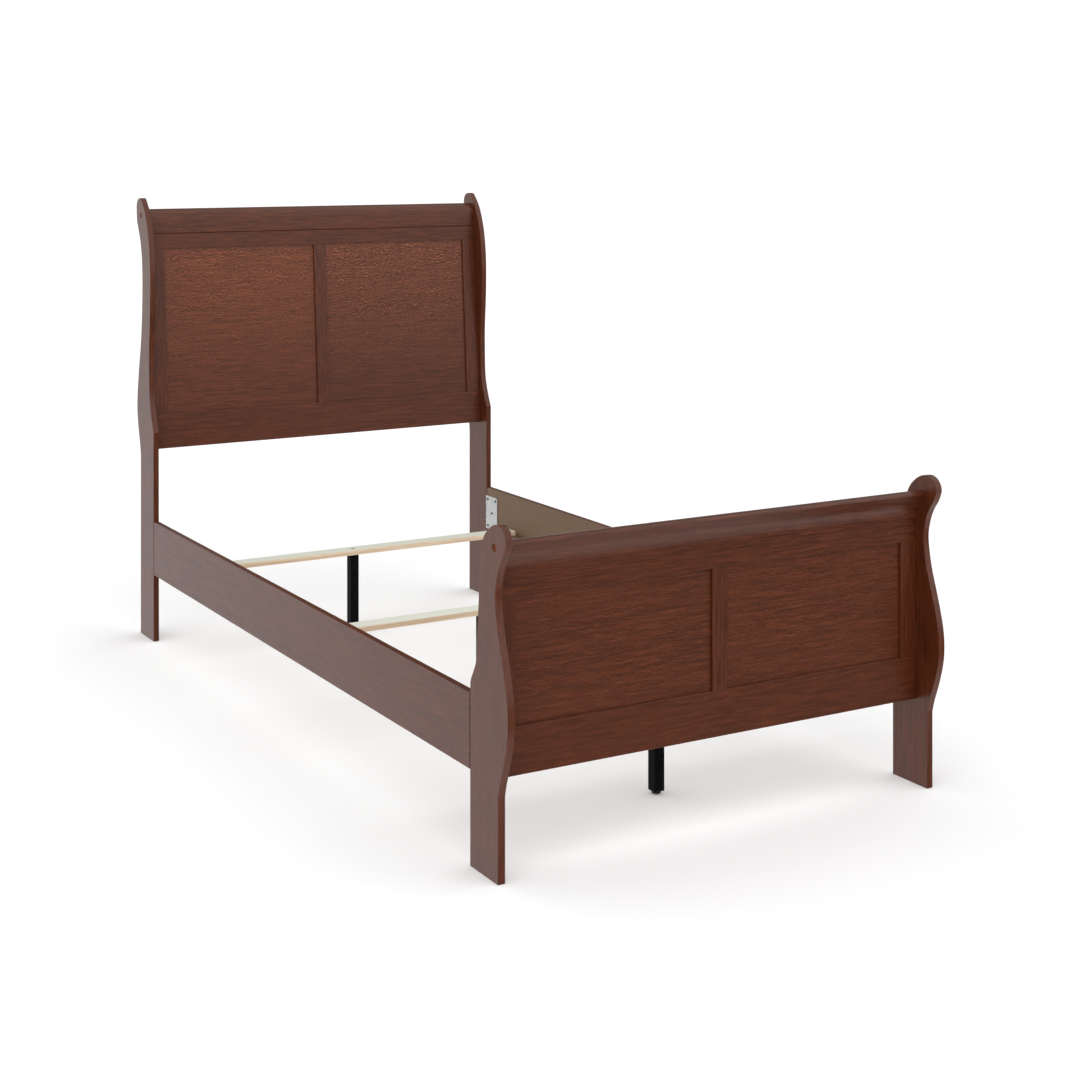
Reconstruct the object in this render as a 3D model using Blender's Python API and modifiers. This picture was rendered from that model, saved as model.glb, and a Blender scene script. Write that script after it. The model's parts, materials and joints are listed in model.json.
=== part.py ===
"""A twin sleigh bed: two scrolled end boards, hook-on side rails, and three slats on centre legs.

Metres, +Z up. The origin is on the floor at the centre of the bed's footprint. +X runs across the
bed, +Y runs along it towards the headboard. Left is -X and right is +X.
"""

import math

import bmesh
import bpy

# Overall size
WIDTH = 1.04775
LENGTH = 2.1336
HEAD_HEIGHT = 1.2065
FOOT_HEIGHT = 0.6605

GAP = 0.0003  # left between two pieces that touch
HALF = WIDTH / 2

# Posts: shaped planks, one at each corner
POST_THICK = 0.015
POST_INSIDE = HALF - POST_THICK
HEAD_LEG = (0.9193, 1.0289)  # Y of the leg's inner and outer edge
FOOT_LEG = (-0.9211, -1.0296)
HEAD_SCROLL_R = 0.0265
HEAD_SCROLL = (LENGTH / 2 - HEAD_SCROLL_R, HEAD_HEIGHT - HEAD_SCROLL_R)
HEAD_PLUG = (1.027, 1.159)
FOOT_SCROLL_R = 0.0305
FOOT_SCROLL = (-1.0285, FOOT_HEIGHT - FOOT_SCROLL_R)
FOOT_PLUG = (-1.0156, 0.617)
PLUG_R = 0.0075
PLUG_THICK = 0.0045
PLUG_HOLE_DEPTH = 0.006

# End boards: frame and panel, each in a local frame with y outwards and z up the board
BOARD_THICK = 0.020
STILE_WIDTH = 0.0416
MID_STILE_WIDTH = 0.036
PANEL_THICK = 0.008
GROOVE_DEPTH = 0.008
TONGUE = 0.0075  # how far a panel or a tenon goes into its groove
TENON_SHOULDER = 0.002
HEAD_BOARD = {
    "foot_of_face": (0.9564, 0.518),  # Y and Z of the inner face's bottom edge
    "lean": math.radians(4.255),
    "bottom_rail": 0.093,
    "opening": 0.457,
    "top_rail": 0.041,
    "crown": 0.0708,
}
FOOT_BOARD = {
    "foot_of_face": (-0.974, 0.181),
    "lean": 0.0,
    "bottom_rail": 0.092,
    "opening": 0.244,
    "top_rail": 0.033,
    "crown": 0.0757,
}
CROWN_LIP = 0.0295  # how far the crown's lip stands out from the board
CROWN_NOSE = (0.012, 0.0065)  # width and height of the quarter ellipse above the lip's arris
CROWN_COVE_R = 0.056
CROWN_COVE_TURN = math.radians(41)
CROWN_INNER_ROLL = (0.034, 0.030)

# Side rails and the ledgers that carry the slats
RAIL_THICK = 0.015
RAIL_BOTTOM = 0.1814
RAIL_HEIGHT = 0.145
RAIL_END_GAP = 0.0028  # filled by the bracket's end flange
LEDGER_THICK = 0.018
LEDGER_HEIGHT = 0.022
LEDGER_HALF_LENGTH = 0.835

# Slats
SLAT_WIDTH = 0.048
SLAT_THICK = 0.013
SLAT_BOTTOM = 0.213
SLAT_PLACES = {"head": 0.765, "middle": 0.0, "foot": -0.765}

# Rail brackets: folded steel with two hooks that drop over pins in the post
PLATE_LENGTH = 0.066
PLATE_HEIGHT = 0.098
PLATE_THICK = 0.002
PLATE_CORNER_R = 0.008
FLANGE_DEPTH = 0.0155
HOOK_THICK = 0.0025
HOOK_REACH = 0.0144
HOOK_NECK = 0.0044
HOOK_NOSE = 0.0050
HOOK_HALF_HEIGHT = 0.007
HOOK_PITCH = 0.052
HOOK_LIFT = 0.010  # room above each hook to lift it off its pin
SLOT_WIDTH = 0.0045
SLOT_ROOM = 0.0025  # left past a hook's nose
SLOT_ROOM_BELOW = 0.001
PIN_R = 0.002
PIN_LENGTH = 0.012
HOLE_CLEARANCE = 0.0003
SCREW_HOLE_R = 0.0022
SCREW_INSET = 0.010  # from the plate's edges
PAST = 0.005  # how far a cutter starts clear of the face it cuts

# Centre legs
TUBE = 0.0245
TUBE_WALL = 0.0015
LEG_CLEARANCE = 0.0062  # the leg's lower end above the floor, with its glide screwed in
END_FLANGE = 0.002
TOP_PLUG_DEPTH = 0.020
BOTTOM_PLUG_DEPTH = 0.022
BOLT_R = 0.003
BOLT_HEAD_R = 0.0055
BOLT_HEAD_HEIGHT = 0.0032
BOLT_LENGTH = 0.028
BOLT_SEAT_R = 0.0066  # the counterbore that keeps the bolt's head below the slat's top
BOLT_SEAT_DEPTH = 0.004
GLIDE_R = 0.010
GLIDE_HEIGHT = 0.0058
GLIDE_ROUND = 0.003
STEM_R = 0.004
STEM_LENGTH = 0.030

ROUND_STEPS = 12  # segments of a small round hole or pin
CURVE_STEPS = 4  # segments between two of an outline's points

YZ_PLANE = (math.pi / 2, 0, math.pi / 2)  # turns a drawing so that it stands across X
ALONG_X = (0, math.pi / 2, 0)


def clear_scene():
    for obj in list(bpy.data.objects):
        bpy.data.objects.remove(obj)


def new_collection(name):
    collection = bpy.data.collections.new(name)
    bpy.context.scene.collection.children.link(collection)
    return collection


def material(name, colour, roughness, metallic=0.0):
    made = bpy.data.materials.new(name)
    made.use_nodes = True
    shader = made.node_tree.nodes["Principled BSDF"]
    shader.inputs["Base Color"].default_value = (*colour, 1)
    shader.inputs["Roughness"].default_value = roughness
    shader.inputs["Metallic"].default_value = metallic
    made.diffuse_color = (*colour, 1)
    return made


clear_scene()
PARTS = new_collection("sleigh_bed")
CUTTERS = new_collection("cutters")

CHERRY = (0.100, 0.032, 0.021)
BACKING = (0.170, 0.120, 0.086)
PINE = (0.640, 0.560, 0.420)
ZINC = (0.52, 0.52, 0.52)
BLACK = (0.006, 0.006, 0.006)


# --- Shapes --------------------------------------------------------------------------------------


def add(name, mesh, look=None, place=(0, 0, 0), turn=(0, 0, 0), parent=None):
    """Puts a mesh in the scene, as a part with its own material or, with no look, as a cutter."""
    obj = bpy.data.objects.new(name, mesh)
    obj.location = place
    obj.rotation_euler = turn
    obj.parent = parent
    if look:
        PARTS.objects.link(obj)
        mesh.materials.clear()
        mesh.materials.append(material(name, *look))
    else:
        CUTTERS.objects.link(obj)
        obj.hide_render = True
        obj.display_type = "WIRE"
    return obj


def box_mesh(name, size):
    mesh = bpy.data.meshes.new(name)
    shape = bmesh.new()
    bmesh.ops.create_cube(shape, size=1)
    bmesh.ops.scale(shape, vec=size, verts=shape.verts)
    shape.to_mesh(mesh)
    shape.free()
    return mesh


def box(name, low, high, look=None, parent=None):
    size = [b - a for a, b in zip(low, high)]
    middle = [(a + b) / 2 for a, b in zip(low, high)]
    return add(name, box_mesh(name, size), look, middle, parent=parent)


def cylinder(name, radius, length, look=None, place=(0, 0, 0), turn=(0, 0, 0), steps=ROUND_STEPS):
    mesh = bpy.data.meshes.new(name)
    shape = bmesh.new()
    bmesh.ops.create_cone(
        shape, cap_ends=True, segments=steps, radius1=radius, radius2=radius, depth=length
    )
    shape.to_mesh(mesh)
    shape.free()
    mesh.shade_smooth()
    mesh.set_sharp_from_angle(angle=math.radians(40))
    return add(name, mesh, look, place, turn)


def extrusion(name, outline, length, look=None, place=(0, 0, 0), turn=(0, 0, 0), parent=None):
    """A flat outline drawn as a curve, given its length on both sides of its plane, as a mesh."""
    curve = bpy.data.curves.new(name, "CURVE")
    curve.dimensions = "2D"
    curve.fill_mode = "BOTH"
    curve.extrude = length / 2
    spline = curve.splines.new("POLY")
    spline.points.add(len(outline) - 1)
    for point, (a, b) in zip(spline.points, outline):
        point.co = (a, b, 0, 1)
    spline.use_cyclic_u = True
    drawn = bpy.data.objects.new(name + "_drawn", curve)
    CUTTERS.objects.link(drawn)
    graph = bpy.context.evaluated_depsgraph_get()
    mesh = bpy.data.meshes.new_from_object(drawn.evaluated_get(graph))
    bpy.data.objects.remove(drawn)
    shape = bmesh.new()
    shape.from_mesh(mesh)
    bmesh.ops.remove_doubles(shape, verts=shape.verts, dist=1e-5)
    bmesh.ops.dissolve_limit(shape, angle_limit=1e-3, verts=shape.verts, edges=shape.edges)
    bmesh.ops.recalc_face_normals(shape, faces=shape.faces)
    shape.to_mesh(mesh)
    shape.free()
    mesh.name = name
    return add(name, mesh, look, place, turn, parent)


def turned(name, profile, look, place):
    """A profile of (radius, height) points, run down its outer side and turned about Z."""
    mesh = bpy.data.meshes.new(name)
    edges = [(i, i + 1) for i in range(len(profile) - 1)]
    mesh.from_pydata([(r, 0, z) for r, z in profile], edges, [])
    obj = add(name, mesh, look, place)
    screw = obj.modifiers.new("turn", "SCREW")
    screw.steps = screw.render_steps = 16
    screw.use_merge_vertices = True
    screw.merge_threshold = 1e-5
    screw.use_smooth_shade = True
    return obj


def combine(obj, other, operation):
    """Cuts, joins or trims obj with another mesh object by an exact Boolean."""
    modifier = obj.modifiers.new(operation.lower(), "BOOLEAN")
    modifier.operation = operation
    modifier.solver = "EXACT"
    modifier.object = other


def cut(obj, *cutters):
    for cutter in cutters:
        combine(obj, cutter, "DIFFERENCE")


# --- Outlines ------------------------------------------------------------------------------------


def arc(centre, radius, first, last, steps):
    """Points on a circle from the first angle to the last, in degrees."""
    turns = [math.radians(first + (last - first) * i / steps) for i in range(steps + 1)]
    return [(centre[0] + radius * math.cos(t), centre[1] + radius * math.sin(t)) for t in turns]


def smooth(points, steps=CURVE_STEPS):
    """A Catmull-Rom curve through the points, from the first to the last."""
    padded = [points[0], *points, points[-1]]
    curve = []
    for p0, p1, p2, p3 in zip(padded, padded[1:], padded[2:], padded[3:]):
        for i in range(steps):
            t = i / steps
            weights = (
                (-t + 2 * t**2 - t**3) / 2,
                (2 - 5 * t**2 + 3 * t**3) / 2,
                (t + 4 * t**2 - 3 * t**3) / 2,
                (-(t**2) + t**3) / 2,
            )
            around = (p0, p1, p2, p3)
            curve.append(tuple(sum(w * p[k] for w, p in zip(weights, around)) for k in (0, 1)))
    return curve + [points[-1]]


def head_post_outline():
    """(Y, Z) round the tall post: leg, rear belly, neck, scroll, and the front down to the leg."""
    inner, outer = HEAD_LEG
    rear = [
        (outer, 0.490),
        (1.0350, 0.521),
        (1.0535, 0.582),
        (1.0600, 0.636),
        (1.0475, 0.720),
        (1.0260, 0.822),
        (1.0165, 0.930),
        (1.0180, 1.020),
        (1.0300, 1.079),
        (1.0480, 1.116),
        (1.0625, 1.144),
    ]
    scroll = arc(HEAD_SCROLL, HEAD_SCROLL_R, 0, 120, 8)
    front = [
        (1.0078, 1.184),
        (0.9900, 1.160),
        (0.9725, 1.122),
        (0.9585, 1.073),
        (0.9500, 1.000),
        (0.9510, 0.900),
        (0.9580, 0.800),
        (0.9575, 0.730),
        (0.9550, 0.668),
        (0.9470, 0.631),
        (0.9355, 0.600),
        (inner + 0.0015, 0.568),
    ]
    front_curve = smooth([scroll[-1], *front])[1:]
    return [(inner, 0), (outer, 0), *smooth(rear + [scroll[0]])[:-1], *scroll, *front_curve]


def foot_post_outline():
    """(Y, Z) round the low post: leg, front belly, neck, scroll, and the rear down to the leg."""
    inner, outer = FOOT_LEG
    front = [
        (outer, 0.160),
        (-1.0360, 0.184),
        (-1.0528, 0.230),
        (-1.0640, 0.272),
        (-LENGTH / 2, 0.306),
        (-1.0640, 0.340),
        (-1.0540, 0.382),
        (-1.0435, 0.416),
        (-1.0268, 0.470),
        (-1.0178, 0.526),
        (-1.0235, 0.561),
        (-1.0345, 0.587),
        (-1.0510, 0.611),
    ]
    scroll = arc(FOOT_SCROLL, FOOT_SCROLL_R, 180, 90, 6)
    rear = [
        (-1.0141, 0.6588),
        (-0.9984, 0.6515),
        (-0.9840, 0.6405),
        (-0.9735, 0.6285),
        (-0.9655, 0.611),
        (-0.9590, 0.575),
        (-0.9545, 0.505),
        (-0.9480, 0.435),
        (-0.9445, 0.393),
        (-0.9345, 0.371),
        (-0.9230, 0.351),
        (inner, 0.336),
    ]
    rear_curve = smooth([scroll[-1], *rear])[1:]
    return [(inner, 0), (outer, 0), *smooth(front + [scroll[0]])[:-1], *scroll, *rear_curve]


def quarter(centre, size, first, steps):
    """Points on a quarter of an ellipse, from an angle of first degrees."""
    unit = arc((0, 0), 1, first, first + 90, steps)
    return [(centre[0] + size[0] * c, centre[1] + size[1] * s) for c, s in unit]


def crown_outline(height):
    """(y, z) round the crown's section: a cove and a slope below its outer lip, a rounded nose, and
    a roll over to the inside."""
    lip = BOARD_THICK + CROWN_LIP
    lip_z = height - CROWN_NOSE[1]
    cove_depth = CROWN_COVE_R * (1 - math.cos(CROWN_COVE_TURN))
    slope_height = (CROWN_LIP - cove_depth) / math.tan(CROWN_COVE_TURN)
    cove_bottom = lip_z - slope_height - CROWN_COVE_R * math.sin(CROWN_COVE_TURN)
    cove_centre = (BOARD_THICK + CROWN_COVE_R, cove_bottom)
    cove = arc(cove_centre, CROWN_COVE_R, 180, 180 - math.degrees(CROWN_COVE_TURN), 7)
    nose = quarter((lip - CROWN_NOSE[0], lip_z), CROWN_NOSE, 0, 4)
    roll_x, roll_z = CROWN_INNER_ROLL
    roll = quarter((roll_x, height - roll_z), CROWN_INNER_ROLL, 90, 8)
    vee = [(0, 0.002), (0.002, 0)]
    return [(BOARD_THICK, 0), *cove, *nose, *roll, *vee]


def grooved(width):
    """A board's section, width by thickness about its middle, with a groove in its +width edge."""
    slot = PANEL_THICK / 2 + GAP
    w = width / 2
    d = BOARD_THICK / 2
    bottom = w - GROOVE_DEPTH
    return [(-w, -d), (w, -d), (w, -slot), (bottom, -slot), (bottom, slot), (w, slot), (w, d), (-w, d)]


# --- Posts ---------------------------------------------------------------------------------------


def side_of(sign):
    return "left" if sign < 0 else "right"


def make_post(end, sign, outline, plug):
    """A shaped plank with a blind hole in its scroll, and the plug that sits in it."""
    side = side_of(sign)
    name = f"{end}_post_{side}"
    middle = sign * (HALF - POST_THICK / 2)
    post = extrusion(name, outline, POST_THICK, (CHERRY, 0.4), (middle, 0, 0), YZ_PLANE)
    hole = cylinder(
        f"{name}_plug_hole",
        PLUG_R + HOLE_CLEARANCE,
        2 * PLUG_HOLE_DEPTH,
        place=(sign * HALF, *plug),
        turn=ALONG_X,
        steps=24,
    )
    cut(post, hole)
    plug_middle = HALF - PLUG_HOLE_DEPTH + GAP + PLUG_THICK / 2
    cylinder(
        f"{end}_scroll_plug_{side}",
        PLUG_R,
        PLUG_THICK,
        ((0.16, 0.035, 0.018), 0.45),
        (sign * plug_middle, *plug),
        ALONG_X,
        steps=24,
    )
    return post


# --- End boards ----------------------------------------------------------------------------------


def board_frame(end, board, turned_round):
    """The empty that an end board's pieces hang on: y outwards, z up the leaning board."""
    empty = bpy.data.objects.new(f"{end}board_frame", None)
    empty.location = (0, *board["foot_of_face"])
    empty.rotation_euler = (-board["lean"], 0, math.pi if turned_round else 0)
    PARTS.objects.link(empty)
    return empty


def make_rail(name, parent, half_length, bottom, height, groove_up, look):
    """A cross rail as long as the board, grooved along the edge that meets the panels."""
    middle = (0, BOARD_THICK / 2, bottom + height / 2)
    section = [(y, groove_up * x) for x, y in grooved(height)]
    extrusion(name, section, 2 * half_length, look, middle, YZ_PLANE, parent)


def make_stile(name, parent, middle, width, groove_sides, opening, look):
    """A stile between the rails: grooved for its panels, with a tenon into each rail's groove."""
    low, high = opening
    half = width / 2
    y_middle = BOARD_THICK / 2
    corners = (middle - half, 0, low + GAP), (middle + half, BOARD_THICK, high - GAP)
    stile = box(name, *corners, look, parent)
    slot = PANEL_THICK / 2 + GAP
    for side in groove_sides:
        xs = sorted((middle + side * (half - GROOVE_DEPTH), middle + side * 2 * half))
        groove_low = (xs[0], y_middle - slot, low - slot)
        groove_high = (xs[1], y_middle + slot, high + slot)
        cut(stile, box(f"{name}_groove_{side_of(side)}", groove_low, groove_high, parent=parent))
    cheek = half - GROOVE_DEPTH - TENON_SHOULDER
    tenon_low = (middle - cheek, y_middle - PANEL_THICK / 2, low - TONGUE)
    tenon_high = (middle + cheek, y_middle + PANEL_THICK / 2, high + TONGUE)
    combine(stile, box(f"{name}_tenon", tenon_low, tenon_high, parent=parent), "UNION")


def make_board(end, board, turned_round):
    """Two cross rails, three stiles between them, two panels and the crown of one end board."""
    frame = board_frame(end, board, turned_round)
    look = (CHERRY, 0.4)
    facing = -1 if turned_round else 1
    outside = POST_INSIDE - GAP
    inside = outside - STILE_WIDTH
    opening_low = board["bottom_rail"]
    opening_high = opening_low + board["opening"]
    top = opening_high + board["top_rail"]
    opening = (opening_low, opening_high)

    make_rail(f"{end}_bottom_rail", frame, outside, 0, opening_low, 1, look)
    make_rail(f"{end}_top_rail", frame, outside, opening_high, board["top_rail"], -1, look)
    make_stile(f"{end}_mid_stile", frame, 0, MID_STILE_WIDTH, (-1, 1), opening, look)
    y0 = (BOARD_THICK - PANEL_THICK) / 2
    for sign in (-1, 1):
        side = side_of(sign * facing)
        middle = sign * (inside + STILE_WIDTH / 2)
        make_stile(f"{end}_stile_{side}", frame, middle, STILE_WIDTH, (-sign,), opening, look)
        xs = sorted((sign * (MID_STILE_WIDTH / 2 - TONGUE), sign * (inside + TONGUE)))
        low = (xs[0], y0, opening_low - TONGUE)
        high = (xs[1], y0 + PANEL_THICK, opening_high + TONGUE)
        box(f"{end}_panel_{side}", low, high, look, frame)

    place = (0, 0, top + GAP)
    outline = crown_outline(board["crown"])
    extrusion(f"{end}_crown", outline, 2 * outside, look, place, YZ_PLANE, frame)


# --- Side rails, ledgers, slats ------------------------------------------------------------------

RAIL_ENDS = (FOOT_LEG[0] + RAIL_END_GAP, HEAD_LEG[0] - RAIL_END_GAP)


def make_side_rail(sign):
    side = side_of(sign)
    xs = sorted((sign * (HALF - RAIL_THICK), sign * HALF))
    low = (xs[0], RAIL_ENDS[0], RAIL_BOTTOM)
    high = (xs[1], RAIL_ENDS[1], RAIL_BOTTOM + RAIL_HEIGHT)
    box(f"side_rail_{side}", low, high, (CHERRY, 0.4))
    inner = HALF - RAIL_THICK - GAP
    xs = sorted((sign * (inner - LEDGER_THICK), sign * inner))
    top = SLAT_BOTTOM - GAP
    low = (xs[0], -LEDGER_HALF_LENGTH, top - LEDGER_HEIGHT)
    box(f"slat_ledger_{side}", low, (xs[1], LEDGER_HALF_LENGTH, top), (BACKING, 0.6))


def make_slat(place, y):
    reach = HALF - RAIL_THICK - GAP
    low = (-reach, y - SLAT_WIDTH / 2, SLAT_BOTTOM)
    high = (reach, y + SLAT_WIDTH / 2, SLAT_BOTTOM + SLAT_THICK)
    slat = box(f"slat_{place}", low, high, (PINE, 0.6))
    radius = BOLT_R + HOLE_CLEARANCE
    hole = cylinder(f"slat_{place}_hole", radius, 4 * SLAT_THICK, place=(0, y, SLAT_BOTTOM))
    seat_place = (0, y, SLAT_BOTTOM + SLAT_THICK)
    seat_name = f"slat_{place}_bolt_seat"
    seat = cylinder(seat_name, BOLT_SEAT_R, 2 * BOLT_SEAT_DEPTH, place=seat_place, steps=24)
    cut(slat, hole, seat)


# --- Rail brackets -------------------------------------------------------------------------------


def hook_outline():
    """(out, up) from the flange: a neck, a notch that is open below, and a nose."""
    inside = -PLATE_THICK / 2
    half = HOOK_HALF_HEIGHT
    nose = HOOK_REACH - HOOK_NOSE
    notch_r = (nose - HOOK_NECK) / 2
    notch = arc((HOOK_NECK + notch_r, 0), notch_r, 0, 180, 6)
    return [
        (inside, half),
        (inside, -half),
        (HOOK_NECK, -half),
        *reversed(notch),
        (nose, -half),
        (HOOK_REACH, -half),
        (HOOK_REACH, half),
    ]


def hook_heights():
    middle = RAIL_BOTTOM + RAIL_HEIGHT / 2
    return (middle - HOOK_PITCH / 2, middle + HOOK_PITCH / 2)


def pin_reach():
    """How far a hook's pin lies inside the post's edge."""
    from_flange = HOOK_NECK + (HOOK_REACH - HOOK_NOSE - HOOK_NECK) / 2
    return from_flange - (RAIL_END_GAP - GAP - PLATE_THICK)


def make_bracket(end, sign):
    """An angle of sheet steel with rounded corners, five screw holes and two hooks."""
    name = f"rail_bracket_{end}_{side_of(sign)}"
    out = 1 if end == "head" else -1
    rail_end = RAIL_ENDS[1] if end == "head" else RAIL_ENDS[0]
    plate_x = HALF - RAIL_THICK - GAP
    flange_y = rail_end + out * GAP
    middle_z = RAIL_BOTTOM + RAIL_HEIGHT / 2
    t = PLATE_THICK
    angle = [
        (plate_x - t, rail_end - out * PLATE_LENGTH),
        (plate_x, rail_end - out * PLATE_LENGTH),
        (plate_x, flange_y),
        (plate_x + FLANGE_DEPTH - t, flange_y),
        (plate_x + FLANGE_DEPTH - t, flange_y + out * t),
        (plate_x - t, flange_y + out * t),
    ]
    angle = [(sign * x, y) for x, y in angle]
    look = (ZINC, 0.35, 0.8)
    bracket = extrusion(name, angle, PLATE_HEIGHT, look, (0, 0, middle_z))

    half = PLATE_HEIGHT / 2
    r = PLATE_CORNER_R
    far = -PLATE_LENGTH
    past_hooks = HOOK_REACH + PAST
    trim = [(past_hooks, -half - PAST), (past_hooks, half + PAST), (far + r, half + PAST)]
    trim += [*arc((far + r, half - r), r, 90, 180, 5), *arc((far + r, r - half), r, 180, 270, 5)]
    trim.append((far + r, -half - PAST))
    trim = [(out * y, z) for y, z in trim]
    place = (sign * plate_x, rail_end, middle_z)
    width = 4 * FLANGE_DEPTH
    corners = extrusion(f"{name}_corners", trim, width, place=place, turn=YZ_PLANE)
    combine(bracket, corners, "INTERSECT")

    hook_x = sign * (HALF - POST_THICK / 2)
    face = flange_y + out * t
    for i, z in enumerate(hook_heights()):
        outline = [(out * a, b) for a, b in hook_outline()]
        place = (hook_x, face, z)
        hook = extrusion(f"{name}_hook_{i}", outline, HOOK_THICK, place=place, turn=YZ_PLANE)
        combine(bracket, hook, "UNION")

    near = rail_end - out * SCREW_INSET
    away = rail_end - out * (PLATE_LENGTH - SCREW_INSET)
    up = half - SCREW_INSET
    spots = [(y, middle_z + dz) for y in (near, away) for dz in (-up, up)]
    spots.append((rail_end - out * PLATE_LENGTH / 2, middle_z))
    for i, (y, z) in enumerate(spots):
        place = (sign * plate_x, y, z)
        hole_name = f"{name}_hole_{i}"
        length = 4 * PLATE_THICK
        cut(bracket, cylinder(hole_name, SCREW_HOLE_R, length, None, place, ALONG_X, 8))


def fit_hooks(post, end, sign):
    """Cuts the post's edge slots and pin holes, and adds the pins that the hooks hang on."""
    out = 1 if end == "head" else -1
    edge = HEAD_LEG[0] if end == "head" else FOOT_LEG[0]
    slot_x = HALF - POST_THICK / 2
    depth = HOOK_REACH + SLOT_ROOM
    side = side_of(sign)
    for i, z in enumerate(hook_heights()):
        xs = sorted((sign * (slot_x - SLOT_WIDTH / 2), sign * (slot_x + SLOT_WIDTH / 2)))
        ys = sorted((edge - out * PAST, edge + out * depth))
        low = (xs[0], ys[0], z - HOOK_HALF_HEIGHT - SLOT_ROOM_BELOW)
        high = (xs[1], ys[1], z + HOOK_HALF_HEIGHT + HOOK_LIFT)
        cut(post, box(f"{post.name}_slot_{i}", low, high))
        pin_y = edge + out * pin_reach()
        pin_x = POST_INSIDE + GAP + PIN_LENGTH / 2
        place = (sign * pin_x, pin_y, z)
        # The hole starts clear of the post's inner face and ends just past the pin.
        hole_length = PIN_LENGTH + PAST
        hole_x = sign * (POST_INSIDE + PIN_LENGTH + 2 * GAP - hole_length / 2)
        hole_place = (hole_x, pin_y, z)
        hole_name = f"{post.name}_pin_hole_{i}"
        radius = PIN_R + HOLE_CLEARANCE
        cut(post, cylinder(hole_name, radius, hole_length, place=hole_place, turn=ALONG_X))
        pin_name = f"hook_pin_{end}_{side}_{('lower', 'upper')[i]}"
        cylinder(pin_name, PIN_R, PIN_LENGTH, (ZINC, 0.3, 0.9), place, ALONG_X)


# --- Centre legs ---------------------------------------------------------------------------------


def square(half):
    return [(-half, -half), (half, -half), (half, half), (-half, half)]


def make_plug(name, y, flange_z, up, depth, hole_r):
    """A square plug in the tube's end, with a flange that covers the tube's wall."""
    inner = TUBE / 2 - TUBE_WALL - GAP
    look = (BLACK, 0.5)
    flange = box(
        name,
        (-TUBE / 2, y - TUBE / 2, min(flange_z, flange_z + up * END_FLANGE)),
        (TUBE / 2, y + TUBE / 2, max(flange_z, flange_z + up * END_FLANGE)),
        look,
    )
    into = (flange_z + up * END_FLANGE / 2, flange_z + up * depth)
    low = (-inner, y - inner, min(into))
    high = (inner, y + inner, max(into))
    combine(flange, box(f"{name}_body", low, high), "UNION")
    cut(flange, cylinder(f"{name}_bore", hole_r, 4 * depth, place=(0, y, flange_z)))


def make_leg(place, y):
    """A square tube under a slat: a bolt and plug at its top, a plug and screw-in glide below."""
    tube_top = SLAT_BOTTOM - 2 * GAP - END_FLANGE
    tube_bottom = LEG_CLEARANCE + END_FLANGE + GAP
    height = tube_top - GAP - tube_bottom
    centre = (0, y, tube_bottom + height / 2)
    tube = extrusion(f"leg_tube_{place}", square(TUBE / 2), height, (BLACK, 0.35), centre)
    inner = square(TUBE / 2 - TUBE_WALL)
    cut(tube, extrusion(f"leg_bore_{place}", inner, 2 * height, place=centre))
    bolt_hole = BOLT_R + HOLE_CLEARANCE
    make_plug(f"leg_top_plug_{place}", y, SLAT_BOTTOM - GAP, -1, TOP_PLUG_DEPTH, bolt_hole)
    stem_hole = STEM_R + HOLE_CLEARANCE
    make_plug(f"leg_bottom_plug_{place}", y, LEG_CLEARANCE, 1, BOTTOM_PLUG_DEPTH, stem_hole)

    seat = SLAT_BOTTOM + SLAT_THICK - BOLT_SEAT_DEPTH + GAP
    bolt = [
        (0, BOLT_HEAD_HEIGHT),
        (0.7 * BOLT_HEAD_R, BOLT_HEAD_HEIGHT),
        (BOLT_HEAD_R, 0.4 * BOLT_HEAD_HEIGHT),
        (BOLT_HEAD_R, 0),
        (BOLT_R, 0),
        (BOLT_R, -BOLT_LENGTH),
        (0, -BOLT_LENGTH),
    ]
    turned(f"leg_bolt_{place}", bolt, (ZINC, 0.3, 0.9), (0, y, seat))
    low_round = arc((GLIDE_R - GLIDE_ROUND, GLIDE_ROUND), GLIDE_ROUND, 0, -90, 3)
    glide = [
        (0, GLIDE_HEIGHT + STEM_LENGTH),
        (STEM_R, GLIDE_HEIGHT + STEM_LENGTH),
        (STEM_R, GLIDE_HEIGHT),
        (GLIDE_R, GLIDE_HEIGHT),
        *low_round,
        (0, 0),
    ]
    turned(f"leg_glide_{place}", glide, (BLACK, 0.5), (0, y, 0))


# --- The bed -------------------------------------------------------------------------------------


def make_bed():
    for sign in (-1, 1):
        head = make_post("head", sign, head_post_outline(), HEAD_PLUG)
        foot = make_post("foot", sign, foot_post_outline(), FOOT_PLUG)
        for post, end in ((head, "head"), (foot, "foot")):
            fit_hooks(post, end, sign)
            make_bracket(end, sign)
        make_side_rail(sign)
    make_board("head", HEAD_BOARD, turned_round=False)
    make_board("foot", FOOT_BOARD, turned_round=True)
    for place, y in SLAT_PLACES.items():
        make_slat(place, y)
        make_leg(place, y)


make_bed()
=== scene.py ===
"""Looks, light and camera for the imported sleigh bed. Metres, in the part's own frame."""

import json
import math

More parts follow.
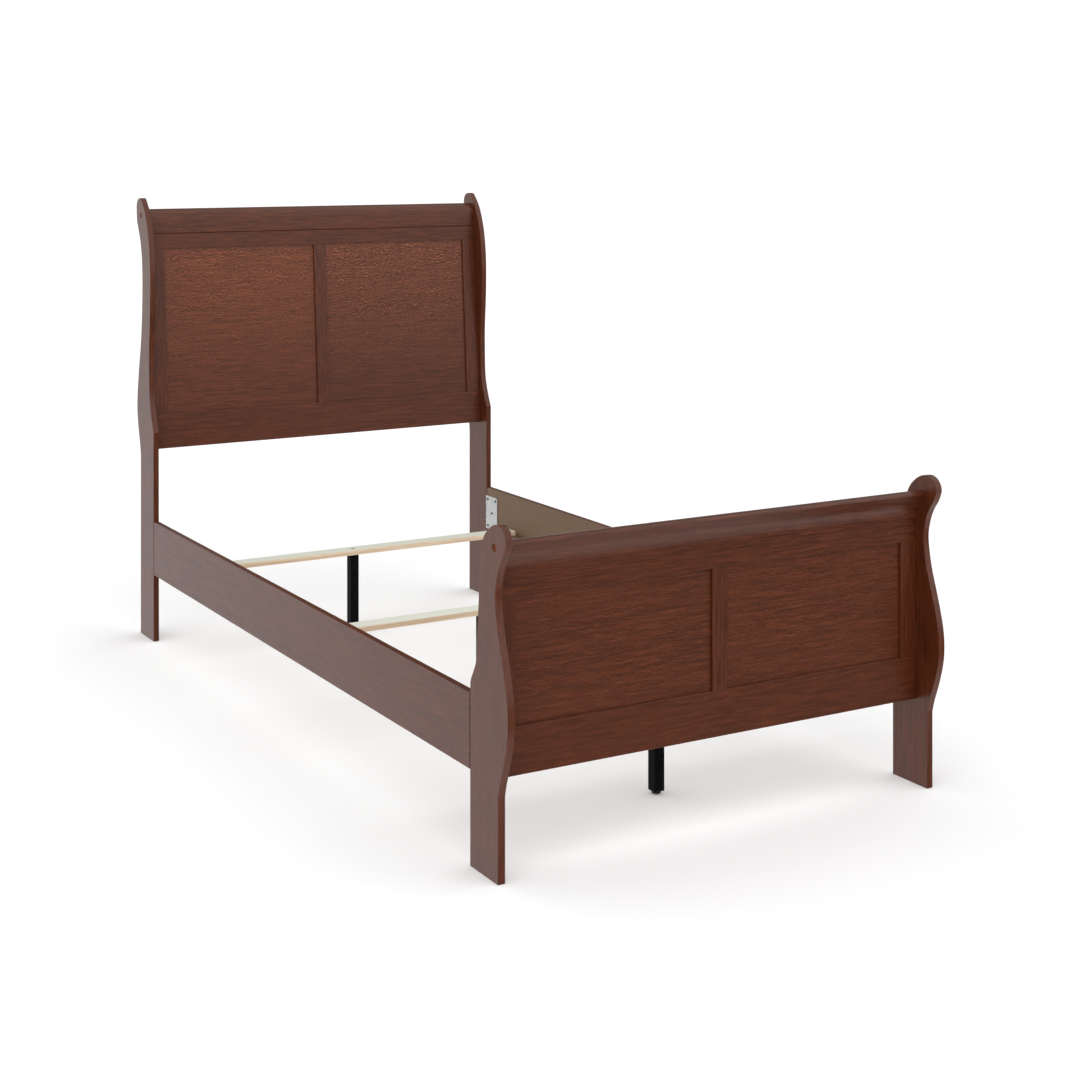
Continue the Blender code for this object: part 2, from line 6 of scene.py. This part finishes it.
import bmesh
import bpy
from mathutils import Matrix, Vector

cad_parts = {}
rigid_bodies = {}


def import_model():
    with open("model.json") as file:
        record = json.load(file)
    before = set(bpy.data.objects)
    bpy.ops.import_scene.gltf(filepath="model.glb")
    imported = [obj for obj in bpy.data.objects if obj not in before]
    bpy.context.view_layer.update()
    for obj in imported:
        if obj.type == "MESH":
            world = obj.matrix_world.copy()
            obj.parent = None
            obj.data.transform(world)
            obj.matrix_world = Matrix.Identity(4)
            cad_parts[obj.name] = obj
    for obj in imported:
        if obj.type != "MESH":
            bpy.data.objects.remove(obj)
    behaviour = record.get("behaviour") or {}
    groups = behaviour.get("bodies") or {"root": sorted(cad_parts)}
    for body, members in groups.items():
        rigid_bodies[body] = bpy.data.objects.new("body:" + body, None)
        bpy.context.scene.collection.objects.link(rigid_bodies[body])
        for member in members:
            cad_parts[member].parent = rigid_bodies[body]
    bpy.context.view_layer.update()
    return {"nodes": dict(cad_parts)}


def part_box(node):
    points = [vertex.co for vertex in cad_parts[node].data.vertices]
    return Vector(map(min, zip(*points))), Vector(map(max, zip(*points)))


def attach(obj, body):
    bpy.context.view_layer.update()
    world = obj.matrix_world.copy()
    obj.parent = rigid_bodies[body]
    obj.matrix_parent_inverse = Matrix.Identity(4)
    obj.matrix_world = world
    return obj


for old in list(bpy.data.objects):
    bpy.data.objects.remove(old)
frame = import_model()
nodes = frame["nodes"]
scene = bpy.context.scene

X, Y, Z = 0, 1, 2


# --- Shader helpers ------------------------------------------------------------------------------


class Look:
    """A material and its node tree, with short calls for the nodes used here."""

    def __init__(self, name):
        self.material = bpy.data.materials.new(name)
        self.material.use_nodes = True
        self.tree = self.material.node_tree
        self.shader = self.tree.nodes["Principled BSDF"]
        self.point = self.node("ShaderNodeTexCoord").outputs["Object"]

    def node(self, kind, **settings):
        made = self.tree.nodes.new(kind)
        for key, value in settings.items():
            setattr(made, key, value)
        return made

    def feed(self, socket, value):
        if isinstance(value, bpy.types.NodeSocket):
            self.tree.links.new(value, socket)
            return
        for link in list(socket.links):
            self.tree.links.remove(link)
        if isinstance(value, tuple) and len(value) == 3 and socket.type == "RGBA":
            socket.default_value = (*value, 1)
        else:
            socket.default_value = value

    def set(self, **inputs):
        for key, value in inputs.items():
            self.feed(self.shader.inputs[key.replace("_", " ")], value)

    def math(self, operation, a, b=0.0, clamp=False):
        made = self.node("ShaderNodeMath", operation=operation, use_clamp=clamp)
        self.feed(made.inputs[0], a)
        self.feed(made.inputs[1], b)
        return made.outputs[0]

    def mapped(self, scale, offset=(0, 0, 0), point=None):
        made = self.node("ShaderNodeMapping")
        self.feed(made.inputs["Vector"], point or self.point)
        made.inputs["Scale"].default_value = scale
        made.inputs["Location"].default_value = offset
        return made.outputs[0]

    def noise(self, point, scale=1.0, detail=4.0, roughness=0.5, distortion=0.0):
        made = self.node("ShaderNodeTexNoise")
        self.feed(made.inputs["Vector"], point)
        made.inputs["Scale"].default_value = scale
        made.inputs["Detail"].default_value = detail
        made.inputs["Roughness"].default_value = roughness
        made.inputs["Distortion"].default_value = distortion
        return made.outputs[0]

    def range(self, value, low, high, to_low=0.0, to_high=1.0):
        made = self.node("ShaderNodeMapRange", interpolation_type="SMOOTHSTEP")
        self.feed(made.inputs["Value"], value)
        for key, number in (
            ("From Min", low),
            ("From Max", high),
            ("To Min", to_low),
            ("To Max", to_high),
        ):
            made.inputs[key].default_value = number
        return made.outputs[0]

    def mix(self, share, a, b, blend="MIX"):
        made = self.node("ShaderNodeMix", data_type="RGBA", blend_type=blend)
        self.feed(made.inputs["Factor"], share)
        self.feed(made.inputs[6], a)
        self.feed(made.inputs[7], b)
        return made.outputs[2]

    def axis(self, index, point=None):
        made = self.node("ShaderNodeSeparateXYZ")
        self.feed(made.inputs[0], point or self.point)
        return made.outputs[index]

    def bump(self, height, strength, distance):
        made = self.node("ShaderNodeBump")
        made.inputs["Strength"].default_value = strength
        made.inputs["Distance"].default_value = distance
        self.feed(made.inputs["Height"], height)
        self.set(Normal=made.outputs[0])


def stretched(along, long_scale, cross_scale):
    """A scale vector that draws a pattern out along one axis."""
    scale = [cross_scale] * 3
    scale[along] = long_scale
    return tuple(scale)


def lit(colour, tone):
    return tuple(c * tone for c in colour)


# --- Woods ---------------------------------------------------------------------------------------

STAIN_LIGHT = (0.099, 0.0232, 0.0074)
STAIN_DARK = (0.055, 0.0122, 0.0038)
STAIN_PORE = (0.034, 0.0072, 0.0026)
# Light crests of the curly figure: partly the veneer's own figure, partly a painted sheen.
CURL_CREST_AND_SHEEN = (0.215, 0.068, 0.030)
CURL_PITCH = 0.0075  # between two ripples of the curly figure
CURL_SWIRL = 58.0  # radians by which slow swirls carry the ripples along
CURL_SHAKE = 8.0  # radians of fine unevenness on top of that
GLOW_TINT = (1, 1.02, 1.02)
BACKING_DARK = (0.105, 0.060, 0.029)
BACKING_LIGHT = (0.190, 0.117, 0.061)
BACKING_MARGIN = 0.0004  # past a side rail's inner face
BACKING_ALL_OVER = 9.0  # wider than the bed, so that a whole piece is backing
PINE_GRAIN_DARK = (0.56, 0.40, 0.26)
PINE_GRAIN_LIGHT = (0.76, 0.60, 0.43)
PINE_FIBRE = (0.42, 0.28, 0.17)
# Greyish white of a slat's upward faces: partly planed wood, partly painted reflection of the bright
# room.
PINE_TOP_AND_SHEEN = (0.715, 0.761, 0.669)


def curly_figure(look, seed):
    """Short ripples, about level, that swing round one another in swirls: -1 to 1."""
    swirl = look.noise(look.mapped((17, 17, 12), (seed, 0, seed)), detail=2)
    shake = look.noise(look.mapped((110, 110, 110), (0, 0, seed)), detail=2)
    level = look.math("MULTIPLY", look.axis(Z), 2 * math.pi / CURL_PITCH)
    phase = look.math("ADD", level, look.math("MULTIPLY", swirl, CURL_SWIRL))
    phase = look.math("ADD", phase, look.math("MULTIPLY", shake, CURL_SHAKE))
    dash = look.noise(look.mapped((140, 140, 230), (seed, 0, 0)), detail=3)
    return look.math("MULTIPLY", look.math("SINE", phase), look.range(dash, 0.38, 0.58))


def stained_wood(name, along, seed, tone=1.0, curl=0.0, glow=None):
    """Lacquered red-brown veneer: drawn-out streaks and fibres, dark pores, slow drift, and an
    optional curly figure whose light crests are partly the figure and partly a painted sheen.
    glow gives the (Z low, Z high, gain) of a warm lift towards the top."""
    look = Look(name)
    shift = (seed * 3.17, seed * 5.71, seed * 2.39)
    drift = look.noise(look.mapped(stretched(along, 1.3, 6.0), shift), detail=3)
    streak = look.noise(look.mapped(stretched(along, 8.0, 170.0), shift), detail=6, roughness=0.7)
    hair_at = look.mapped(stretched(along, 17.0, 300.0), shift)
    hair = look.noise(hair_at, detail=3, roughness=0.6, distortion=0.3)
    fibre = look.noise(look.mapped(stretched(along, 30.0, 640.0), shift), detail=4, roughness=0.6)
    pores = look.noise(look.mapped(stretched(along, 70.0, 1500.0), shift), detail=2)

    tint = look.mix(look.range(streak, 0.36, 0.64), STAIN_DARK, STAIN_LIGHT)
    tint = look.mix(look.range(hair, 0.53, 0.66, 0.0, 0.75), tint, lit(STAIN_LIGHT, 1.35))
    tint = look.mix(look.range(hair, 0.46, 0.34, 0.0, 0.75), tint, lit(STAIN_DARK, 0.85))
    tint = look.mix(look.range(fibre, 0.60, 0.35, 0.0, 0.30), tint, STAIN_DARK)
    tint = look.mix(look.range(pores, 0.66, 0.74, 0.0, 0.55), tint, STAIN_PORE)
    tint = look.mix(look.range(drift, 0.35, 0.65, 0.0, 0.30), tint, STAIN_LIGHT)
    height = look.math("ADD", look.math("MULTIPLY", pores, -0.6), fibre)
    if curl:
        ripple = curly_figure(look, seed)
        if glow:
            low, high, _ = glow
            share = look.range(look.axis(Z), low, high, 0.20 * curl, curl)
        else:
            share = curl
        # Painted sheen: the ripples' crests are partly the figure and partly a painted highlight,
        # stronger towards the top where glow is given.
        light = look.math("MULTIPLY", look.math("MAXIMUM", ripple, 0.0), share)
        trough = look.math("MAXIMUM", look.math("MULTIPLY", ripple, -1), 0)
        dark = look.math("MULTIPLY", trough, share)
        tint = look.mix(light, tint, CURL_CREST_AND_SHEEN)
        tint = look.mix(dark, tint, STAIN_DARK)
    if glow:
        low, high, gain = glow
        warm = look.range(look.axis(Z), low, high)
        tint = look.mix(warm, tint, lit(GLOW_TINT, gain), "MULTIPLY")
    if tone != 1.0:
        tint = look.mix(1.0, tint, (tone, tone, tone), "MULTIPLY")
    rough = look.range(fibre, 0.2, 0.8, 0.26, 0.36)
    look.set(Base_Color=tint, Roughness=rough, IOR=1.40)
    look.bump(height, 0.12, 0.0004)
    return look


def stained_with_backing(name, seed, inner_x, tone=1.0):
    """Stained veneer, with a plain khaki backing sheet wherever X is within inner_x of the middle:
    the inner face of a side rail."""
    look = stained_wood(name, Y, seed, tone)
    veneer = look.shader.inputs["Base Color"].links[0].from_socket
    veneer_rough = look.shader.inputs["Roughness"].links[0].from_socket
    speck = look.noise(look.mapped((160, 60, 160)), detail=5, roughness=0.7)
    backing = look.mix(speck, BACKING_DARK, BACKING_LIGHT)
    inside = look.math("LESS_THAN", look.math("ABSOLUTE", look.axis(X)), inner_x)
    rough = look.node("ShaderNodeMix", data_type="FLOAT")
    look.feed(rough.inputs[0], inside)
    look.feed(rough.inputs[2], veneer_rough)
    rough.inputs[3].default_value = 0.55
    look.set(Base_Color=look.mix(inside, veneer, backing), Roughness=rough.outputs[0])
    return look.material


def pine(name, seed):
    """A sawn softwood slat: warmer edges, long yellow grain, and greyish-white upward faces, partly
    planed wood and partly painted reflection.
    """
    look = Look(name)
    shift = (seed * 2.3, seed * 4.9, seed * 7.1)
    bands = look.noise(look.mapped(stretched(X, 2.0, 95.0), shift), detail=4, distortion=0.5)
    fibre = look.noise(look.mapped(stretched(X, 20.0, 700.0), shift), detail=4)
    tint = look.mix(look.range(bands, 0.35, 0.65), PINE_GRAIN_DARK, PINE_GRAIN_LIGHT)
    tint = look.mix(look.range(fibre, 0.55, 0.75, 0.0, 0.45), tint, PINE_FIBRE)
    up = look.node("ShaderNodeNewGeometry").outputs["Normal"]
    # Painted reflection: faces turned up are mixed towards greyish white, partly the planed top and
    # partly the room's gloss painted in.
    planed_top_and_sheen = look.range(look.axis(Z, up), 0.5, 0.9, 0.0, 0.85)
    tint = look.mix(planed_top_and_sheen, tint, PINE_TOP_AND_SHEEN)
    look.set(Base_Color=tint, Roughness=0.62)
    look.bump(fibre, 0.2, 0.0004)
    return look.material


# --- Metals and plastics -------------------------------------------------------------------------


def zinc(name, colour=0.50, roughness=0.42):
    """Passivated zinc plate: faint cloudy patches and fine rolling marks."""
    look = Look(name)
    cloud = look.noise(look.mapped((90, 90, 90)), detail=4, roughness=0.6)
    marks = look.noise(look.mapped((900, 60, 900)), detail=2)
    tint = look.mix(
        look.range(cloud, 0.3, 0.7),
        (colour * 0.88, colour * 0.90, colour * 0.92),
        (colour * 1.08, colour * 1.08, colour * 1.06),
    )
    rough = look.range(marks, 0.3, 0.7, roughness - 0.06, roughness + 0.08)
    look.set(Base_Color=tint, Roughness=rough, Metallic=0.75)
    look.bump(marks, 0.08, 0.0002)
    return look.material


def powder_coat(name):
    """Black powder coat with a fine orange-peel surface."""
    look = Look(name)
    peel = look.noise(look.point, scale=1400, detail=2)
    dust = look.noise(look.point, scale=70, detail=5, roughness=0.7)
    tint = look.mix(look.range(dust, 0.45, 0.75), (0.0045, 0.0045, 0.005), (0.0085, 0.0085, 0.009))
    rough = look.range(dust, 0.3, 0.7, 0.42, 0.52)
    look.set(Base_Color=tint, Roughness=rough, Specular_IOR_Level=0.02)
    look.bump(peel, 0.15, 0.0003)
    return look.material


def moulded_plastic(name):
    """Black moulded plastic with a fine spark-eroded texture."""
    look = Look(name)
    grain = look.noise(look.point, scale=2600, detail=2)
    tint = look.mix(grain, (0.006, 0.006, 0.006), (0.014, 0.014, 0.014))
    rough = look.range(grain, 0.3, 0.7, 0.42, 0.6)
    look.set(Base_Color=tint, Roughness=rough, Specular_IOR_Level=0.1)
    look.bump(grain, 0.25, 0.0002)
    return look.material


# --- Rounded edges on the CAD nodes --------------------------------------------------------------

# How far each kind of piece has its edges eased.
EASE = {
    "post": 0.0012,
    "side_rail": 0.0012,
    "slat": 0.0012,
    "ledger": 0.001,
    "bottom_rail": 0.0007,
    "stile": 0.0006,
    "tube": 0.0006,
    "plug": 0.0005,
    "plastic": 0.0004,
    "crown": 0.0003,
    "top_rail": 0.0003,
    "steel": 0.0003,
    "pin": 0.0002,
}


def shading_group():
    """Joins the imported triangles and lets them shade smoothly except across real edges."""
    group = bpy.data.node_groups.new("joined_smooth", "GeometryNodeTree")
    group.interface.new_socket("Geometry", in_out="INPUT", socket_type="NodeSocketGeometry")
    group.interface.new_socket("Geometry", in_out="OUTPUT", socket_type="NodeSocketGeometry")
    start = group.nodes.new("NodeGroupInput")
    end = group.nodes.new("NodeGroupOutput")
    merge = group.nodes.new("GeometryNodeMergeByDistance")
    merge.inputs["Distance"].default_value = 2e-5
    normal = group.nodes.new("GeometryNodeSetMeshNormal")
    normal.mode = "SHARPNESS"
    normal.inputs["Remove Custom"].default_value = True
    links = group.links
    links.new(start.outputs[0], merge.inputs[0])
    links.new(merge.outputs[0], normal.inputs["Mesh"])
    links.new(normal.outputs[0], end.inputs[0])
    return group


JOINED = shading_group()


def round_edges(obj, width, segments=2, angle=28):
    """Joins a node's triangles, then eases its edges so that they catch the light."""
    obj.modifiers.new("joined", "NODES").node_group = JOINED
    bevel = obj.modifiers.new("eased", "BEVEL")
    bevel.width = width
    bevel.segments = segments
    bevel.limit_method = "ANGLE"
    bevel.angle_limit = math.radians(angle)
    bevel.harden_normals = True
    bevel.use_clamp_overlap = True


def dress(name, material, width=0.0, segments=2, angle=28):
    """Gives a CAD node its finished material and eased edges."""
    mesh = nodes[name].data
    for i in range(len(mesh.materials)):
        mesh.materials[i] = material
    if width:
        round_edges(nodes[name], width, segments, angle)


def dress_bed():
    seed = 1
    rail_inner = abs(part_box("side_rail_right")[0].x) + BACKING_MARGIN
    for side in ("left", "right"):
        for end in ("head", "foot"):
            seed += 1
            post = stained_wood(f"post_{end}_{side}", Z, seed)
            dress(f"{end}_post_{side}", post.material, EASE["post"], segments=3, angle=24)
            plug = stained_wood(f"plug_{end}_{side}", Y, seed + 40, tone=1.9)
            plug.set(Roughness=0.6, Specular_IOR_Level=0.15)
            dress(f"{end}_scroll_plug_{side}", plug.material, EASE["plug"])
            stile = stained_wood(f"stile_{end}_{side}", Z, seed + 20)
            dress(f"{end}_stile_{side}", stile.material, EASE["stile"])
        rail = stained_with_backing(f"rail_{side}", seed + 60, rail_inner)
        dress(f"side_rail_{side}", rail, EASE["side_rail"], segments=3)
    for end in ("head", "foot"):
        seed += 1
        for part, shift in (("crown", 0), ("top_rail", 7), ("bottom_rail", 13)):
            look = stained_wood(f"{part}_{end}", X, seed + shift)
            dress(f"{end}_{part}", look.material, EASE[part], angle=24)
        mid_stile = stained_wood(f"mid_stile_{end}", Z, seed + 30)
        dress(f"{end}_mid_stile", mid_stile.material, EASE["stile"])

    low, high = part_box("head_panel_left")
    glow = (low.z, high.z, 1.40)
    for end, side, grain, tone, curl, warmth in (
        ("head", "left", 71, 1.10, 0.55, glow),
        ("head", "right", 83, 0.95, 0.85, glow),
        ("foot", "left", 91, 1.05, 0.15, None),
        ("foot", "right", 97, 1.08, 0.15, None),
    ):
        panel = stained_wood(f"panel_{end}_{side}", X, grain, tone, curl, warmth)
        dress(f"{end}_panel_{side}", panel.material)

    ledger = stained_with_backing("ledger", 5, BACKING_ALL_OVER)
    for side in ("left", "right"):
        dress(f"slat_ledger_{side}", ledger, EASE["ledger"])
    tube, plastic = powder_coat("leg_powder_coat"), moulded_plastic("leg_plastic")
    steel = zinc("bolt_steel", roughness=0.3)
    for i, place in enumerate(("head", "middle", "foot")):
        dress(f"slat_{place}", pine(f"pine_{place}", i + 1), EASE["slat"])
        dress(f"leg_tube_{place}", tube, EASE["tube"])
        for part in ("top_plug", "bottom_plug", "glide"):
            dress(f"leg_{part}_{place}", plastic, EASE["plastic"])
        dress(f"leg_bolt_{place}", steel, EASE["steel"])
    plate = zinc("bracket_zinc")
    for end in ("head", "foot"):
        for side in ("left", "right"):
            dress(f"rail_bracket_{end}_{side}", plate, EASE["steel"])
            for level in ("lower", "upper"):
                dress(f"hook_pin_{end}_{side}_{level}", steel, EASE["pin"])


# --- Bracket screws ------------------------------------------------------------------------------

SCREW_HEAD_R = 0.0034
SCREW_HEAD_HEIGHT = 0.0018
SCREW_SHANK_R = 0.0019
SCREW_SHANK = 0.0021  # down through the bracket's hole to the rail
RECESS_ARM = 0.0019
RECESS_HALF_WIDTH = 0.00045
RECESS_DEPTH = 0.0009
SCREW_INSET = 0.010  # a corner screw, from the plate's edges
SCREW_LIFT = 0.00005  # keeps a head's underside off the plate
SCREW_TURN = 0.4  # radians from one screw to the next
PLATE_LENGTH = 0.066  # the flat of a bracket, along its rail


def ring(shape, radius, height, steps=20):
    turns = [2 * math.pi * i / steps for i in range(steps)]
    return [shape.verts.new((radius * math.cos(t), radius * math.sin(t), height)) for t in turns]


def join_rings(shape, upper, lower):
    for i, vert in enumerate(upper):
        j = (i + 1) % len(upper)
        shape.faces.new((vert, lower[i], lower[j], upper[j]))


def screw_mesh():
    """A pan head with a cross recess, and the shank below it as far as the rail's face."""
    mesh = bpy.data.meshes.new("bracket_screw")
    shape = bmesh.new()
    rounds = [(0.68, 1.0), (0.88, 0.86), (1.0, 0.55), (1.0, 0.0)]  # shares of radius and height
    rings = [ring(shape, SCREW_HEAD_R * r, SCREW_HEAD_HEIGHT * h) for r, h in rounds]
    rings.append(ring(shape, SCREW_SHANK_R, 0))
    rings.append(ring(shape, SCREW_SHANK_R, -SCREW_SHANK))
    for upper, lower in zip(rings, rings[1:]):
        join_rings(shape, upper, lower)
    shape.faces.new(reversed(rings[-1]))

    a, w = RECESS_ARM, RECESS_HALF_WIDTH
    quarter = [(a, -w), (a, w), (w, w)]
    cross = []
    for turn in range(4):
        c, s = ((1, 0), (0, 1), (-1, 0), (0, -1))[turn]
        cross += [(c * x - s * y, s * x + c * y) for x, y in quarter]
    rim = [shape.verts.new((x, y, SCREW_HEAD_HEIGHT)) for x, y in cross]
    bed = [shape.verts.new((0.7 * x, 0.7 * y, SCREW_HEAD_HEIGHT - RECESS_DEPTH)) for x, y in cross]
    join_rings(shape, bed, rim)
    shape.faces.new(bed)
    edges = []
    for loop in (rings[0], rim):
        for i, vert in enumerate(loop):
            edges.append(shape.edges.get((vert, loop[(i + 1) % len(loop)])))
    bmesh.ops.triangle_fill(shape, use_beauty=True, edges=edges)
    bmesh.ops.recalc_face_normals(shape, faces=shape.faces)
    shape.to_mesh(mesh)
    shape.free()
    mesh.shade_smooth()
    mesh.set_sharp_from_angle(angle=math.radians(35))
    return mesh


def dark_steel(name):
    """Blackened steel, worn to a brighter grey in small patches."""
    look = Look(name)
    wear = look.noise(look.point, scale=900, detail=3)
    tint = look.mix(look.range(wear, 0.5, 0.75), (0.045, 0.043, 0.042), (0.12, 0.115, 0.11))
    look.set(Base_Color=tint, Roughness=0.42, Metallic=0.7)
    return look.material


def add_screws():
    """Five in each bracket: near its four corners and in its middle."""
    mesh = screw_mesh()
    mesh.materials.append(dark_steel("screw_steel"))
    for end in ("head", "foot"):
        out = 1 if end == "head" else -1
        for side in ("left", "right"):
            low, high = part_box(f"rail_bracket_{end}_{side}")
            sign = -1 if side == "left" else 1
            inner_x = high.x if side == "left" else low.x
            far_y = low.y if end == "head" else high.y
            near_y = far_y + out * PLATE_LENGTH
            ys = (near_y - out * SCREW_INSET, far_y + out * SCREW_INSET)
            spots = [(y, z) for y in ys for z in (low.z + SCREW_INSET, high.z - SCREW_INSET)]
            spots.append(((near_y + far_y) / 2, (low.z + high.z) / 2))
            for i, (y, z) in enumerate(spots):
                screw = bpy.data.objects.new(f"screw_{end}_{side}_{i}", mesh)
                scene.collection.objects.link(screw)
                screw.location = (inner_x - sign * SCREW_LIFT, y, z)
                screw.rotation_euler = (SCREW_TURN * i, -sign * math.pi / 2, 0)
                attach(screw, "frame")


# --- Stage, light and camera ---------------------------------------------------------------------

FLOOR_R = 60
FLOOR_DROP = 0.0005  # below the ends of the posts

# Strengths of the room, by direction.
ROOM = 1.10
WALL_ABOVE = 1.40
WALL_BAND = 0.15
WALL_BELOW = 1.12
FAR_RIGHT = 0.22
BACKDROP = 1.08

CAMERA_AT = (-2.1974, -4.0738, 1.3689)
CAMERA_TURN = math.radians(-30.073)
CAMERA_LENS = 63.05
CAMERA_SHIFT = -0.3706


def make_stage():
    mesh = bpy.data.meshes.new("floor")
    shape = bmesh.new()
    bmesh.ops.create_circle(shape, cap_ends=True, radius=FLOOR_R, segments=64)
    shape.to_mesh(mesh)
    shape.free()
    floor = bpy.data.objects.new("floor", mesh)
    scene.collection.objects.link(floor)
    floor.location.z = -FLOOR_DROP
    look = Look("pale_floor")
    look.set(Base_Color=(0.94, 0.94, 0.94), Roughness=0.75, Specular_IOR_Level=0.2)
    look.set(Emission_Color=(1.0, 1.0, 1.0), Emission_Strength=0.07)
    mesh.materials.append(look.material)
    floor.visible_glossy = False


def make_light():
    """A white room. In front of the bed it is bright above the horizon and steeply below it, with
    a dark band between, so that gloss on the faces turned that way stays low. The upper part of
    the far side is dim for the same reason, behind a backdrop that the camera sees as white."""
    world = bpy.data.worlds.new("studio")
    scene.world = world
    world.use_nodes = True
    tree = world.node_tree
    sky = tree.nodes["Background"]
    sky.inputs["Color"].default_value = (1, 1, 1, 1)
    towards = tree.nodes.new("ShaderNodeTexCoord").outputs["Generated"]
    parts = tree.nodes.new("ShaderNodeSeparateXYZ")
    tree.links.new(towards, parts.inputs[0])
    to_right, to_rear, up = parts.outputs

    def ramp(value, low, high, to_low, to_high):
        made = tree.nodes.new("ShaderNodeMapRange")
        made.interpolation_type = "SMOOTHSTEP"
        tree.links.new(value, made.inputs["Value"])
        numbers = (low, high, to_low, to_high)
        for key, number in zip(("From Min", "From Max", "To Min", "To Max"), numbers):
            made.inputs[key].default_value = number
        return made.outputs[0]

    def combine(operation, a, b):
        made = tree.nodes.new("ShaderNodeMath")
        made.operation = operation
        tree.links.new(a, made.inputs[0])
        tree.links.new(b, made.inputs[1])
        return made.outputs[0]

    def blend(share, a, b):
        made = tree.nodes.new("ShaderNodeMix")
        for socket, value in zip(made.inputs[:1] + made.inputs[2:4], (share, a, b)):
            if isinstance(value, bpy.types.NodeSocket):
                tree.links.new(value, socket)
            else:
                socket.default_value = value
        return made.outputs[0]

    above = ramp(up, -0.10, 0.12, WALL_BAND, WALL_ABOVE)
    wall = combine("MAXIMUM", above, ramp(up, -0.27, -0.64, 0.0, WALL_BELOW))
    far_right = combine("MULTIPLY", ramp(to_rear, 0.35, 0.65, 0, 1), ramp(to_right, -0.1, 0.2, 0, 1))
    dim = combine("MULTIPLY", far_right, ramp(up, -0.02, 0.10, 0, 1))
    room = blend(ramp(to_rear, 0.1, -0.5, 0.0, 1.0), blend(dim, ROOM, FAR_RIGHT), wall)
    seen = tree.nodes.new("ShaderNodeLightPath").outputs["Is Camera Ray"]
    tree.links.new(blend(seen, room, BACKDROP), sky.inputs["Strength"])


def make_camera():
    camera = bpy.data.cameras.new("camera")
    camera.lens = CAMERA_LENS
    camera.sensor_width = 36.0
    camera.shift_y = CAMERA_SHIFT
    obj = bpy.data.objects.new("camera", camera)
    scene.collection.objects.link(obj)
    obj.location = CAMERA_AT
    obj.rotation_euler = (math.pi / 2, 0, CAMERA_TURN)
    scene.camera = obj


make_camera()
dress_bed()
add_screws()
make_stage()
make_light()
scene.view_settings.view_transform = "Standard"
